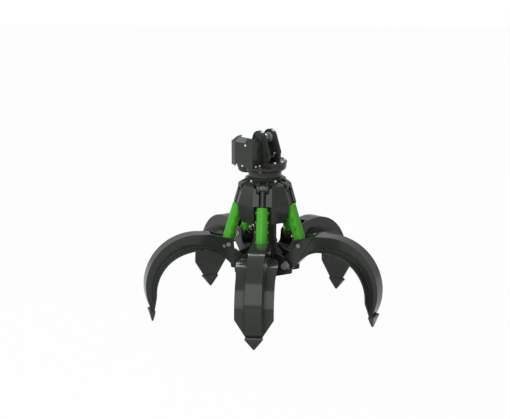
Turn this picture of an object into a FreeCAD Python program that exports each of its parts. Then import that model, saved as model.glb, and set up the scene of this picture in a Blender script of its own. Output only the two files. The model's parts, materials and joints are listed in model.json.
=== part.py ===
import FreeCAD, Part
import math
import os
import Sketcher

doc = FreeCAD.newDocument("grapple")
sheet = doc.addObject("Spreadsheet::Sheet", "sizes")
rowCount = 0


class Size:
    """A number that remembers the sheet expression it comes from."""

    def __init__(self, value, text):
        self.value = value
        self.text = text

    def joined(self, other, sign, result):
        word = other.text if isinstance(other, Size) else "(%.6f)" % other
        return Size(result, "(%s %s %s)" % (self.text, sign, word))

    def __add__(self, other):
        return self.joined(other, "+", self.value + number(other))

    def __sub__(self, other):
        return self.joined(other, "-", self.value - number(other))

    def __mul__(self, other):
        return self.joined(other, "*", self.value * number(other))

    def __truediv__(self, other):
        return self.joined(other, "/", self.value / number(other))

    def __neg__(self):
        return Size(-self.value, "(0 - %s)" % self.text)


def number(item):
    return item.value if isinstance(item, Size) else float(item)


def cell(name, value):
    global rowCount
    rowCount += 1
    sheet.set("A%d" % rowCount, name)
    sheet.set("B%d" % rowCount, "%g" % value)
    sheet.setAlias("B%d" % rowCount, name)
    return Size(float(value), "sizes." + name)


# Overall frame: five tines on one upright axis, tips on the floor.
axisShift = cell("axisShift", 85.15)
tineCount = cell("tineCount", 5)

# Pivots of one tine, radius from the axis and height above the floor.
hubPinR = cell("hubPinRadius", 231)
hubPinZ = cell("hubPinHeight", 500)
footPinR = cell("footPinRadius", 357)
footPinZ = cell("footPinHeight", 697)
rodPinR = cell("rodPinRadius", 195)
rodPinZ = cell("rodPinHeight", 1222)

# Tine.
outerArcX = cell("outerArcCentreX", 645)
outerArcZ = cell("outerArcCentreZ", 330)
outerArcR = cell("outerArcRadius", 471)
shellArcX = cell("shellArcCentreX", 648)
shellArcZ = cell("shellArcCentreZ", 291)
shellArcR = cell("shellArcRadius", 382)
shellThick = cell("shellThickness", 14)
coverThick = cell("coverThickness", 12)
ribHalf = cell("ribHalfWidth", 73)
cheekHalf = cell("cheekHalfWidth", 75.5)
webGap = cell("webHalfGap", 64)
shellHalf = cell("shellHalfWidth", 184)
neckEndZ = cell("bladeEndHeight", 112)
hubBossR = cell("hubBossRadius", 62)
pinAR = cell("hubPinShaftRadius", 30)
pinBR = cell("footPinShaftRadius", 20)
pinCR = cell("rodPinShaftRadius", 20)
footBossR = cell("footBossRadius", 29)
footBossOut = cell("footBossOut", 79)

# Cylinder, measured along its own axis from the foot pin.
barrelR = cell("barrelRadius", 51)
boreR = cell("boreRadius", 40)
rodR = cell("rodRadius", 25)
barrelTop = cell("barrelTop", 357)
glandTop = cell("glandTop", 375)
glandIn = cell("glandInnerEnd", 347)
boreFloor = cell("boreFloor", 46)
footEyeR = cell("footEyeRadius", 42)
footEyeHalf = cell("footEyeHalfWidth", 57)
rodEyeR = cell("rodEyeRadius", 38)
rodEyeHalf = cell("rodEyeHalfWidth", 23.5)
lumpR = cell("clampBossRadius", 12)
lumpOut = cell("clampBossOut", 60)
pistonThick = cell("pistonThickness", 28)

# Hub, column and crown.
columnR = cell("columnRadius", 104)
columnBore = cell("columnBore", 90)
hubR = cell("hubRadius", 165)
hubFloor = cell("hubFloorHeight", 395)
earIn = cell("earInnerFace", 77.5)
earOut = cell("earOuterFace", 101.5)
crownFloor = cell("crownFloorHeight", 903)
crownBreak = cell("crownBreakHeight", 1068)
crownShoulder = cell("crownShoulderHeight", 1240)
crownTop = cell("crownTopHeight", 1284)
wall = cell("crownWall", 14)
barrelSlot = cell("barrelSlotHalf", 76)
rodSlot = cell("rodSlotHalf", 31)
forkIn = cell("forkInnerFace", 26)
forkOut = cell("forkOuterFace", 42)
earBossOut = cell("forkBossOuterFace", 57)
forkR = cell("forkRadius", 43)
slotFloorR = cell("slotFloorRadius", 150)
slotReach = cell("slotReach", 340)

# Slewing bearing and rotator.
topRingR = cell("topRingRadius", 176)
topRingTop = cell("topRingHeight", 1303)
neckR = cell("neckRadius", 151)
raceR = cell("raceRadius", 127)
ballR = cell("ballRadius", 8)
raceZ = cell("raceHeight", 1322)
housingFloor = cell("housingFloorHeight", 1356)
housingTop = cell("housingTopHeight", 1443)
housingR = cell("housingRadius", 200)
podR = cell("podRadius", 80)
podX = cell("podOffset", 165)

# Hanger and hose cover, in the head's own directions.
headTurn = cell("headTurn", 50)
lugIn = cell("lugInnerFace", 54)
lugOut = cell("lugOuterFace", 76)
lugBoreZ = cell("lugBoreHeight", 1649)
lugHeadR = cell("lugHeadRadius", 74)
lugBoreR = cell("lugBoreRadius", 45)
bushBore = cell("bushBoreRadius", 35)
bushIn = cell("bushInnerEnd", 28)
deckZ = cell("motorDeckHeight", 1399)
coverBreak = cell("coverBreakHeight", 1613)
coverTop = cell("coverTopHeight", 1660)
coverWall = cell("coverWall", 5)
doc.recompute()


def role(body, name):
    return [item for item in body.Origin.OriginFeatures if item.Role == name][0]


def bind(item, prop, value):
    if isinstance(value, Size):
        item.setExpression(prop, value.text)
    else:
        setattr(item, prop, value)


def newBody(name):
    return doc.addObject("PartDesign::Body", name + "Body")


def newSketch(body, plane, offset=0.0):
    sketch = body.newObject("Sketcher::SketchObject", body.Name + "Sketch")
    sketch.AttachmentSupport = [(role(body, plane), "")]
    sketch.MapMode = "FlatFace"
    if isinstance(offset, Size) or offset:
        sketch.AttachmentOffset = FreeCAD.Placement(FreeCAD.Vector(0, 0, number(offset)), FreeCAD.Rotation())
        if isinstance(offset, Size):
            sketch.setExpression("AttachmentOffset.Base.z", offset.text)
    return sketch


def hold(sketch, kind, geo, pos, value):
    if isinstance(value, Size):
        index = sketch.addConstraint(Sketcher.Constraint(kind, -1, 1, geo, pos, value.value))
        sketch.setExpression("Constraints[%d]" % index, value.text)


def point(pair):
    return FreeCAD.Vector(number(pair[0]), number(pair[1]), 0)


def addCircle(sketch, x, y, radius):
    geo = sketch.addGeometry(Part.Circle(point((x, y)), FreeCAD.Vector(0, 0, 1), number(radius)), False)
    hold(sketch, "DistanceX", geo, 3, x)
    hold(sketch, "DistanceY", geo, 3, y)
    if isinstance(radius, Size):
        index = sketch.addConstraint(Sketcher.Constraint("Radius", geo, radius.value))
        sketch.setExpression("Constraints[%d]" % index, radius.text)


def addPath(sketch, corners):
    """Closed outline; a corner may name the middle point of the arc that follows it."""
    total = len(corners)
    geos = []
    for i in range(total):
        start = corners[i]
        end = corners[(i + 1) % total]
        if len(start) == 3:
            into = point(start[2]) - point(start)
            out = point(end) - point(start[2])
            if into.x * out.y - into.y * out.x > 0:
                geo = sketch.addGeometry(Part.Arc(point(start), point(start[2]), point(end)), False)
                geos.append((geo, 1, 2))
            else:
                geo = sketch.addGeometry(Part.Arc(point(end), point(start[2]), point(start)), False)
                geos.append((geo, 2, 1))
        else:
            geo = sketch.addGeometry(Part.LineSegment(point(start), point(end)), False)
            geos.append((geo, 1, 2))
    for i in range(total):
        after = geos[(i + 1) % total]
        sketch.addConstraint(Sketcher.Constraint("Coincident", geos[i][0], geos[i][2], after[0], after[1]))
    for i in range(total):
        hold(sketch, "DistanceX", geos[i][0], geos[i][1], corners[i][0])
        hold(sketch, "DistanceY", geos[i][0], geos[i][1], corners[i][1])


def feature(body, kind, name, sketch):
    item = body.newObject("PartDesign::" + kind, name)
    item.Profile = sketch
    return item


def pad(body, sketch, length, both=False, back=False):
    item = feature(body, "Pad", body.Name + "Pad", sketch)
    bind(item, "Length", length)
    item.SideType = "Symmetric" if both else "One side"
    item.Reversed = back
    return item


def pocket(body, sketch, length=None, both=False, back=False):
    item = feature(body, "Pocket", body.Name + "Pocket", sketch)
    if length is None:
        item.Type = "ThroughAll"
    else:
        bind(item, "Length", length)
    item.SideType = "Symmetric" if both else "One side"
    item.Reversed = back
    return item


def spin(body, sketch, cut=False):
    item = feature(body, "Groove" if cut else "Revolution", body.Name + "Spin", sketch)
    item.ReferenceAxis = (sketch, ["V_Axis"])
    item.Angle = 360
    return item


def polar(body, items, count, angle=360.0):
    item = body.newObject("PartDesign::PolarPattern", body.Name + "Polar")
    item.Originals = items
    item.Axis = (role(body, "Z_Axis"), [""])
    item.Angle = angle
    bind(item, "Occurrences", count)
    body.Tip = item
    return item


def rect(sketch, x0, y0, x1, y1):
    addPath(sketch, [(x0, y0), (x1, y0), (x1, y1), (x0, y1)])


nodes = []


def node(label, parts, angle=0.0, raised=0.0):
    """A named piece: its solids, turned about the grapple's axis."""
    item = doc.addObject("Part::Compound", "node_" + label)
    item.Label = label
    item.Links = parts
    turn = FreeCAD.Rotation(FreeCAD.Vector(0, 0, 1), angle)
    item.Placement = FreeCAD.Placement(FreeCAD.Vector(0, number(axisShift), raised), turn)
    item.setExpression("Placement.Base.y", axisShift.text)
    nodes.append(item)
    return item


def around(body, items):
    return polar(body, items, tineCount)


tineAngles = [-90.0, -18.0, 54.0, 126.0, 198.0]


def onOuter(x, inset=0.0):
    reach = outerArcR.value - inset
    return outerArcZ.value + math.sqrt(reach ** 2 - (x - outerArcX.value) ** 2)


def onOuterAt(z, inset=0.0):
    reach = outerArcR.value - inset
    return outerArcX.value + math.sqrt(reach ** 2 - (z - outerArcZ.value) ** 2)


def shellPoint(angle, outside=0.0):
    reach = shellArcR.value + outside
    turn = math.radians(angle)
    return (shellArcX.value + reach * math.cos(turn), shellArcZ.value + reach * math.sin(turn))


def bossPoint(angle):
    turn = math.radians(angle)
    return (hubPinR.value + hubBossR.value * math.cos(turn), hubPinZ.value + hubBossR.value * math.sin(turn))


# Tine: box rib on a curved shell blade, hollow between its webs.
rootTurn = -46.3
shellOut = shellThick.value
coverIn = coverThick.value
tine = newBody("tine")
ribSide = newSketch(tine, "XZ_Plane")
bladeInX = 1040.0
bladeOutX = bladeInX + shellOut
addPath(ribSide, [
    (bladeInX, neckEndZ),
    (onOuterAt(neckEndZ.value), neckEndZ, (onOuterAt(480.0), 480.0)),
    (600.0, onOuter(600.0)),
    (515.0, 797.0),
    (440.0, 776.0),
    (330.0, 748.0, (309.0, 728.0)),
    (306.0, 700.0),
    (297.0, 640.0, (281.0, 621.0)),
    (255.0, 612.0),
    (205.0, 572.0, (169.5, 490.0)),
    bossPoint(-90.0) + (bossPoint(-68.0),),
    bossPoint(rootTurn),
    shellPoint(137.3) + (shellPoint(80.0),),
    (shellPoint(0.0)[0], shellArcZ),
])
pad(tine, ribSide, ribHalf * 2, both=True)
strip = newSketch(tine, "XZ_Plane")
addPath(strip, [
    (bladeInX, neckEndZ),
    (bladeOutX, neckEndZ),
    (shellPoint(0.0, shellOut)[0], shellArcZ, shellPoint(60.0, shellOut)),
    shellPoint(122.0, shellOut),
    (shellPoint(122.0)[0], shellPoint(122.0)[1], shellPoint(60.0)),
    (shellPoint(0.0)[0], shellArcZ),
])
pad(tine, strip, shellHalf * 2, both=True)
plan = newSketch(tine, "XY_Plane")
bladeEdge = 170.5
for side in (1, -1):
    addPath(plan, [
        (430.0, side * 76.0),
        (468.0, side * 76.0),
        (596.0, side * 134.0, (690.0, side * 178.0)),
        (762.0, side * 184.0),
        (900.0, side * 171.5),
        (1120.0, side * bladeEdge),
        (1120.0, side * 200.0),
        (430.0, side * 200.0),
    ])
pocket(tine, plan, 1700.0, both=True)
vee = newSketch(tine, "YZ_Plane")
for side in (1, -1):
    addPath(vee, [
        (side * 172.0, 262.0),
        (side * 74.0, neckEndZ - 2),
        (side * 74.0, 60.0),
        (side * 230.0, 60.0),
        (side * 230.0, 262.0),
    ])
pocket(tine, vee, 2400.0, both=True)
inside = newSketch(tine, "XZ_Plane")
inset = coverIn
addPath(inside, [
    (512.0, 830.0),
    (512.0, 785.0),
    (600.0, onOuter(600.0, inset), (onOuterAt(480.0, inset), 480.0)),
    (onOuterAt(200.0, inset), 200.0),
    (bladeOutX - 3.0, 200.0),
    (shellPoint(0.0, shellOut)[0], shellArcZ, shellPoint(60.0, shellOut)),
    shellPoint(125.0, shellOut),
    (340.0, 580.0),
    (225.0, 632.0),
    (225.0, 830.0),
])
pocket(tine, inside, webGap * 2, both=True)
cheek = newSketch(tine, "XZ_Plane")
addPath(cheek, [
    (505.0, 788.0),
    (503.0, 796.0),
    (440.0, 776.0),
    (330.0, 748.0, (309.0, 728.0)),
    (306.0, 700.0),
    (297.0, 640.0, (281.0, 621.0)),
    (255.0, 612.0),
    (205.0, 572.0, (169.5, 490.0)),
    bossPoint(-90.0) + (bossPoint(-68.0),),
    bossPoint(rootTurn),
    (352.0, 533.6),
    (459.0, 731.0),
])
pad(tine, cheek, cheekHalf * 2, both=True)
cheekRoom = newSketch(tine, "XZ_Plane")
addPath(cheekRoom, [
    (512.0, 830.0),
    (512.0, 700.0),
    (405.0, 600.0),
    (340.0, 580.0),
    (225.0, 632.0),
    (225.0, 830.0),
])
pocket(tine, cheekRoom, webGap * 2, both=True)
bosses = newSketch(tine, "XZ_Plane")
addCircle(bosses, footPinR, footPinZ, footBossR)
pad(tine, bosses, footBossOut * 2, both=True)
bossRoom = newSketch(tine, "XZ_Plane")
addCircle(bossRoom, footPinR, footPinZ, footBossR + 8)
pocket(tine, bossRoom, webGap * 2, both=True)
tineHoles = newSketch(tine, "XZ_Plane")
addCircle(tineHoles, footPinR, footPinZ, pinBR)
addCircle(tineHoles, hubPinR, hubPinZ, pinAR + 0.05)
pocket(tine, tineHoles, 400.0, both=True)
nose = newSketch(tine, "XZ_Plane")
addPath(nose, [(1043.0, neckEndZ + 4), (1057.0, neckEndZ + 4), (1056.0, 52.0), (1048.0, 52.0)])
pad(tine, nose, 90.0, both=True)

# Tooth: arrow-shaped cap over the blade's nose.
tooth = newBody("tooth")
toothSide = newSketch(tooth, "XZ_Plane")
addPath(toothSide, [
    (1033.0, neckEndZ),
    (1083.0, neckEndZ),
    (1086.0, 100.0),
    (1058.0, 0.0),
    (1044.0, 0.0),
    (1036.0, 60.0),
])
pad(tooth, toothSide, 164.0, both=True)
arrow = newSketch(tooth, "YZ_Plane")
for side in (1, -1):
    addPath(arrow, [
        (side * 71.0, 113.0),
        (side * 71.0, neckEndZ - 1),
        (side * 80.0, 97.0),
        (side * 6.0, -0.5),
        (side * 120.0, -0.5),
        (side * 120.0, 113.0),
    ])
pocket(tooth, arrow, 2400.0, both=True)
socket = newSketch(tooth, "XZ_Plane")
addPath(socket, [(1042.6, 113.0), (1057.5, 113.0), (1056.4, 51.6), (1047.6, 51.6)])
pocket(tooth, socket, 90.8, both=True)

# Foot pin ends: ride with the tine, one on each web.
footPin = newBody("footPin")
footEnd = newSketch(footPin, "XZ_Plane")
addCircle(footEnd, footPinR, footPinZ, pinBR)
pad(footPin, footEnd, footBossOut * 2 + 2, both=True)
footMiddle = newSketch(footPin, "XZ_Plane")
addCircle(footMiddle, footPinR, footPinZ, pinBR + 4)
pocket(footPin, footMiddle, footEyeHalf * 2 + 4, both=True)
footKeeper = newBody("footKeeper")
keeperFace = newSketch(footKeeper, "XZ_Plane", -cheekHalf)
addPath(keeperFace, [
    (footPinR + 32, footPinZ - 31),
    (footPinR + 48, footPinZ - 18, (footPinR.value + 50.0, footPinZ.value - 4.0)),
    (footPinR + 36, footPinZ + 2),
    (footPinR + 26, footPinZ - 14),
])
pad(footKeeper, keeperFace, 6.0, back=True)
keeperBolt = newSketch(footKeeper, "XZ_Plane", -cheekHalf - 6)
addCircle(keeperBolt, footPinR + 37, footPinZ - 14, 8.0)
pad(footKeeper, keeperBolt, 7.0, back=True)

# Cylinder parts stand along their own axis with the foot pin at the origin.
reach = math.hypot(rodPinR.value - footPinR.value, rodPinZ.value - footPinZ.value)
lean = math.degrees(math.atan2(footPinR.value - rodPinR.value, rodPinZ.value - footPinZ.value))
onFoot = FreeCAD.Placement(
    FreeCAD.Vector(footPinR.value, 0, footPinZ.value),
    FreeCAD.Rotation(FreeCAD.Vector(0, 1, 0), -lean))


def cylinderBody(name):
    body = newBody(name)
    body.Placement = onFoot
    body.setExpression("Placement.Base.x", footPinR.text)
    body.setExpression("Placement.Base.z", footPinZ.text)
    return body


barrel = cylinderBody("barrel")
barrelSide = newSketch(barrel, "XZ_Plane")
addPath(barrelSide, [(0.0, 26.0), (barrelR - 6, 26.0), (barrelR, 36.0), (barrelR, barrelTop), (0.0, barrelTop)])
spin(barrel, barrelSide)
footEye = newSketch(barrel, "XZ_Plane")
addCircle(footEye, 0.0, 0.0, footEyeR)
pad(barrel, footEye, footEyeHalf * 2, both=True)
lumps = newSketch(barrel, "XZ_Plane")
for level in (68.0, 157.0, 246.0, 330.0):
    addCircle(lumps, 0.0, level, lumpR)
lumpPad = pad(barrel, lumps, lumpOut * 2, both=True)
ports = newSketch(barrel, "YZ_Plane")
addCircle(ports, 0.0, 88.0, 13.0)
addCircle(ports, 0.0, 318.0, 13.0)
pad(barrel, ports, barrelR + 10, back=True)
bore = newSketch(barrel, "XZ_Plane")
addPath(bore, [(0.0, boreFloor), (boreR, boreFloor), (boreR, barrelTop + 2), (0.0, barrelTop + 2)])
spin(barrel, bore, cut=True)
portHoles = newSketch(barrel, "YZ_Plane")
addCircle(portHoles, 0.0, 88.0, 6.0)
addCircle(portHoles, 0.0, 318.0, 6.0)
pocket(barrel, portHoles, barrelR + 12, back=False)
footHole = newSketch(barrel, "XZ_Plane")
addCircle(footHole, 0.0, 0.0, pinBR)
pocket(barrel, footHole, 200.0, both=True)

footCore = cylinderBody("footCore")
coreSide = newSketch(footCore, "XZ_Plane")
addCircle(coreSide, 0.0, 0.0, pinBR)
pad(footCore, coreSide, footEyeHalf * 2, both=True)

gland = cylinderBody("gland")
glandSide = newSketch(gland, "XZ_Plane")
addPath(glandSide, [
    (rodR + 0.05, glandIn),
    (boreR, glandIn),
    (boreR, barrelTop),
    (barrelR, barrelTop),
    (barrelR, glandTop - 5),
    (barrelR - 5, glandTop),
    (rodR + 5, glandTop),
    (rodR + 0.05, glandTop - 5),
])
spin(gland, glandSide)

rod = cylinderBody("rod")
rodSide = newSketch(rod, "XZ_Plane")
rodFoot = boreFloor + 2
addPath(rodSide, [
    (0.0, rodFoot),
    (rodR - 9, rodFoot),
    (rodR - 9, rodFoot + pistonThick),
    (rodR, rodFoot + pistonThick),
    (rodR, reach - 30.0),
    (0.0, reach - 30.0),
])
spin(rod, rodSide)
rodEye = newSketch(rod, "XZ_Plane")
addCircle(rodEye, 0.0, reach, rodEyeR)
pad(rod, rodEye, rodEyeHalf * 2, both=True)
rodHole = newSketch(rod, "XZ_Plane")
addCircle(rodHole, 0.0, reach, pinCR + 0.05)
pocket(rod, rodHole, 200.0, both=True)

piston = cylinderBody("piston")
pistonSide = newSketch(piston, "XZ_Plane")
addPath(pistonSide, [
    (rodR - 9, rodFoot),
    (boreR - 2, rodFoot),
    (boreR - 0.05, rodFoot + 2),
    (boreR - 0.05, rodFoot + 9),
    (boreR - 3, rodFoot + 9),
    (boreR - 3, rodFoot + 14),
    (boreR - 0.05, rodFoot + 14),
    (boreR - 0.05, rodFoot + pistonThick - 2),
    (boreR - 2, rodFoot + pistonThick),
    (rodR - 9, rodFoot + pistonThick),
])
spin(piston, pistonSide)

# Hub casting with five double ears.
hub = newBody("hub")
hubSide = newSketch(hub, "XZ_Plane")
addPath(hubSide, [
    (80.0, hubFloor),
    (hubR, hubFloor),
    (hubR, 585.0, (128.0, 632.0)),
    (columnR + 2, 690.0),
    (columnR + 9, 692.0),
    (columnR + 9, 704.0),
    (80.0, 704.0),
])
spin(hub, hubSide)
ears = []
for low, high in ((-earOut, -earIn), (earIn, earOut)):
    ear = newSketch(hub, "XZ_Plane", low)
    addPath(ear, [
        (100.0, hubFloor),
        (150.0, hubFloor + 3),
        (300.0, 438.0),
        (302.5, 473.0, (271.0, 539.0)),
        (196.0, 598.0),
        (140.0, 620.0),
        (100.0, 652.0),
    ])
    ears.append(pad(hub, ear, high - low))
around(hub, ears)
slots = newSketch(hub, "XZ_Plane")
addPath(slots, [(hubPinR - hubBossR - 4, 380.0), (330.0, 380.0), (330.0, 720.0), (hubPinR - hubBossR - 4, 720.0)])
slotCut = pocket(hub, slots, earIn * 2, both=True)
around(hub, [slotCut])
pinHoles = newSketch(hub, "XZ_Plane")
addCircle(pinHoles, hubPinR, hubPinZ, pinAR)
holeCut = pocket(hub, pinHoles, 260.0, both=True)
around(hub, [holeCut])
bowl = newSketch(hub, "XZ_Plane")
addPath(bowl, [(60.0, 418.0), (148.0, 418.0), (148.0, 570.0), (92.0, 650.0), (92.0, 720.0), (60.0, 720.0)])
spin(hub, bowl, cut=True)

hubCap = newBody("hubCap")
capSide = newSketch(hubCap, "XZ_Plane")
addPath(capSide, [(0.0, hubFloor - 10), (146.0, hubFloor - 10), (150.0, hubFloor - 6), (150.0, hubFloor), (0.0, hubFloor)])
spin(hubCap, capSide)
capBolts = newSketch(hubCap, "XY_Plane", hubFloor - 10)
addPath(capBolts, [(118.0, 10.0), (127.0, 10.0), (131.5, 2.2), (127.0, -5.6), (118.0, -5.6), (113.5, 2.2)])
capBolt = pad(hubCap, capBolts, 8.0, back=True)
polar(hubCap, [capBolt], 8)

hingePin = newBody("hingePin")
hingeSide = newSketch(hingePin, "XZ_Plane")
addCircle(hingeSide, hubPinR, hubPinZ, pinAR)
hingePad = pad(hingePin, hingeSide, earOut * 2 + 16, both=True)
around(hingePin, [hingePad])

hingeKeeper = newBody("hingeKeeper")
keeperItems = []
for side in (1, -1):
    lockFace = newSketch(hingeKeeper, "XZ_Plane", earOut * side)
    addPath(lockFace, [
        (hubPinR + 2, hubPinZ + 31, (hubPinR.value + 22.0, hubPinZ.value + 22.0)),
        (hubPinR + 31, hubPinZ + 2),
        (hubPinR + 34, hubPinZ - 20),
        (hubPinR + 52, hubPinZ - 22),
        (hubPinR + 52, hubPinZ + 20),
        (hubPinR + 24, hubPinZ + 48),
        (hubPinR + 2, hubPinZ + 48),
    ])
    keeperItems.append(pad(hingeKeeper, lockFace, 6.0, back=side < 0))
    lockBolts = newSketch(hingeKeeper, "XZ_Plane", earOut * side + 6.0 * side)
    addCircle(lockBolts, hubPinR + 43, hubPinZ - 12, 7.5)
    addCircle(lockBolts, hubPinR + 10, hubPinZ + 40, 7.5)
    keeperItems.append(pad(hingeKeeper, lockBolts, 7.0, back=side < 0))
around(hingeKeeper, keeperItems)

column = newBody("column")
columnSide = newSketch(column, "XZ_Plane")
addPath(columnSide, [
    (columnBore, 704.0),
    (columnR, 704.0),
    (columnR, crownTop),
    (columnBore, crownTop),
])
spin(column, columnSide)


# Crown: five flat panels above and below a break line, cut by five cylinder slots.
def tenCorners(distance, half):
    """Corners of a pentagon whose own corners are cut square at the slots."""
    turn = math.radians(36.0)
    radius = (distance - half * math.sin(turn)) / math.cos(turn)
    corners = []
    for k in range(5):
        mid = math.radians(72.0 * k)
        for side in (-1, 1):
            x = radius * math.cos(mid) - side * half * math.sin(mid)
            y = radius * math.sin(mid) + side * half * math.cos(mid)
            corners.append((x, y))
    return corners


def stack(body, levels, kind, name):
    sections = []
    for height, corners in levels:
        level = newSketch(body, "XY_Plane", height)
        addPath(level, corners)
        sections.append(level)
    item = body.newObject("PartDesign::" + kind, name)
    item.Profile = sections[0]
    item.Sections = sections[1:]
    item.Ruled = True
    return item


crown = newBody("crown")
stack(crown, [
    (crownFloor, tenCorners(240.0, 79.0)),
    (crownBreak, tenCorners(270.0, 86.0)),
    (crownShoulder, tenCorners(228.0, 84.0)),
    (crownTop, tenCorners(158.0, 60.0)),
], "AdditiveLoft", "crownShell")


def sector(distance, half):
    """Room behind the panel that faces 36 degrees, clear of the slot walls."""
    turn = math.radians(36.0)
    inner = columnR.value + 2.0

    def fromSlots(r, s, mid, side):
        return (r * math.cos(mid) - side * s * math.sin(mid), r * math.sin(mid) + side * s * math.cos(mid))

    outerR = (distance - half * math.sin(turn)) / math.cos(turn)
    innerR = max(inner, half / math.tan(turn) + 1.0)
    return [
        fromSlots(innerR, half, 0.0, 1),
        fromSlots(outerR, half, 0.0, 1),
        fromSlots(outerR, half, 2 * turn, -1),
        fromSlots(innerR, half, 2 * turn, -1),
    ]


slotWall = barrelSlot.value + 12.0
room = stack(crown, [
    (crownFloor + wall, sector(242.5 - wall.value, slotWall)),
    (crownBreak, sector(270.0 - wall.value, slotWall)),
    (crownShoulder - 6, sector(230.0 - wall.value, slotWall)),
], "SubtractiveLoft", "crownRoom")
around(crown, [room])
barrelSlotTop = footPinZ + glandTop
lowSlot = newSketch(crown, "XZ_Plane")
addPath(lowSlot, [
    (slotFloorR + 22, crownFloor - 10),
    (slotReach, crownFloor - 10),
    (slotReach, barrelSlotTop),
    (slotFloorR + 22, barrelSlotTop),
])
lowCut = pocket(crown, lowSlot, barrelSlot * 2, both=True)
around(crown, [lowCut])
highSlot = newSketch(crown, "XZ_Plane")
addPath(highSlot, [
    (slotFloorR, crownFloor + 60),
    (slotReach, crownFloor + 60),
    (slotReach, crownShoulder),
    (slotFloorR, crownShoulder),
])
highCut = pocket(crown, highSlot, rodSlot * 2, both=True)
around(crown, [highCut])
hollow = newSketch(crown, "XY_Plane", barrelSlotTop - 1)
for side in (1, -1):
    rect(hollow, slotFloorR + 6, side * 43.0, 212.0, side * 76.0)
hollowCut = pocket(crown, hollow, 150.0, back=True)
around(crown, [hollowCut])
archItems = []
for side in (1, -1):
    arch = newSketch(crown, "YZ_Plane", slotFloorR + 2)
    addPath(arch, [
        (side * 44.0, 1226.0),
        (side * 80.0, 1226.0),
        (side * 80.0, 1258.0, (side * 62.0, 1276.0)),
        (side * 44.0, 1258.0),
    ])
    archItems.append(pocket(crown, arch, 90.0, back=True))
keyhole = newSketch(crown, "YZ_Plane", slotFloorR)
addPath(keyhole, [
    (-rodSlot + 2, 1200.0),
    (rodSlot - 2, 1200.0),
    (rodSlot - 2, 1251.0, (0.0, 1279.0)),
    (-rodSlot + 2, 1251.0),
])
archItems.append(pocket(crown, keyhole, 90.0, back=True))
around(crown, archItems)
forks = []
for low, high in ((-earBossOut, -forkIn), (forkIn, earBossOut)):
    lobe = newSketch(crown, "XZ_Plane", low)
    addPath(lobe, [
        (slotFloorR - 4, rodPinZ - 22),
        (rodPinR, rodPinZ - forkR, (rodPinR.value + 24.8, rodPinZ.value - 24.8)),
        (rodPinR + 30, rodPinZ + 18),
        (slotFloorR - 4, rodPinZ + 18),
    ])
    forks.append(pad(crown, lobe, high - low))
for low, high in ((-forkOut, -forkIn), (forkIn, forkOut)):
    fork = newSketch(crown, "XZ_Plane", low)
    addPath(fork, [
        (slotFloorR - 4, rodPinZ - 30),
        (rodPinR, rodPinZ - forkR, (rodPinR.value + 30.4, rodPinZ.value - 30.4)),
        (rodPinR + forkR, rodPinZ),
        (rodPinR + 34, 1246.0),
        (slotFloorR + 14, 1278.0),
        (slotFloorR - 4, 1278.0),
    ])
    forks.append(pad(crown, fork, high - low))
around(crown, forks)
forkHole = newSketch(crown, "XZ_Plane")
addCircle(forkHole, rodPinR, rodPinZ, pinCR)
forkCut = pocket(crown, forkHole, earBossOut * 2 + 6, both=True)
around(crown, [forkCut])
roofHole = newSketch(crown, "XY_Plane", 1262.0)
addCircle(roofHole, 184.5 * math.cos(math.radians(36.0)), 184.5 * math.sin(math.radians(36.0)), 8.0)
roofCut = pocket(crown, roofHole, 40.0, back=True)
around(crown, [roofCut])
heart = newSketch(crown, "XY_Plane", crownFloor - 20)
addCircle(heart, 0.0, 0.0, columnR)
pocket(crown, heart, 600.0, back=True)

rodPin = newBody("rodPin")
rodPinSide = newSketch(rodPin, "XZ_Plane")
addCircle(rodPinSide, rodPinR, rodPinZ, pinCR)
rodPinPad = pad(rodPin, rodPinSide, earBossOut * 2 + 4, both=True)
around(rodPin, [rodPinPad])

# Top ring, slewing bearing and vane rotor turn with the crown.
topRing = newBody("topRing")
topRingSide = newSketch(topRing, "XZ_Plane")
addPath(topRingSide, [
    (60.0, crownTop),
    (topRingR - 4, crownTop),
    (topRingR, crownTop + 4),
    (topRingR, crownTop + 8),
    (neckR + 4, topRingTop),
    (60.0, topRingTop),
])
spin(topRing, topRingSide)

crownBolts = newBody("crownBolts")
boltFace = newSketch(crownBolts, "XY_Plane", 1262.0)
addCircle(boltFace, 184.5, 0.0, 8.0)
boltPad = pad(crownBolts, boltFace, 25.0)
polar(crownBolts, [boltPad], 5)


def race(body, sketch):
    addCircle(sketch, raceR, raceZ, ballR + 0.3)
    return spin(body, sketch, cut=True)


innerRing = newBody("innerRing")
innerSide = newSketch(innerRing, "XZ_Plane")
addPath(innerSide, [(96.0, topRingTop), (raceR - 1, topRingTop), (raceR - 1, 1348.0), (96.0, 1348.0)])
spin(innerRing, innerSide)
race(innerRing, newSketch(innerRing, "XZ_Plane"))

outerRing = newBody("outerRing")
outerSide = newSketch(outerRing, "XZ_Plane")
addPath(outerSide, [
    (raceR + 1, topRingTop + 4),
    (neckR, topRingTop + 4),
    (neckR, housingFloor),
    (raceR + 1, housingFloor),
])
spin(outerRing, outerSide)
race(outerRing, newSketch(outerRing, "XZ_Plane"))

balls = newBody("balls")
ballSide = newSketch(balls, "XZ_Plane")
ballLow = raceZ.value - ballR.value
ballHigh = raceZ.value + ballR.value
addPath(ballSide, [
    (raceR, ballLow, (raceR.value + ballR.value, raceZ.value)),
    (raceR, ballHigh),
])
ballSpin = feature(balls, "Revolution", "ballSpin", ballSide)
ballLine = ballSide.addGeometry(Part.LineSegment(FreeCAD.Vector(raceR.value, ballLow, 0),
                                                 FreeCAD.Vector(raceR.value, ballHigh, 0)), True)
ballSpin.ReferenceAxis = (ballSide, ["Axis0"])
ballSpin.Angle = 360
polar(balls, [ballSpin], 30)

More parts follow.
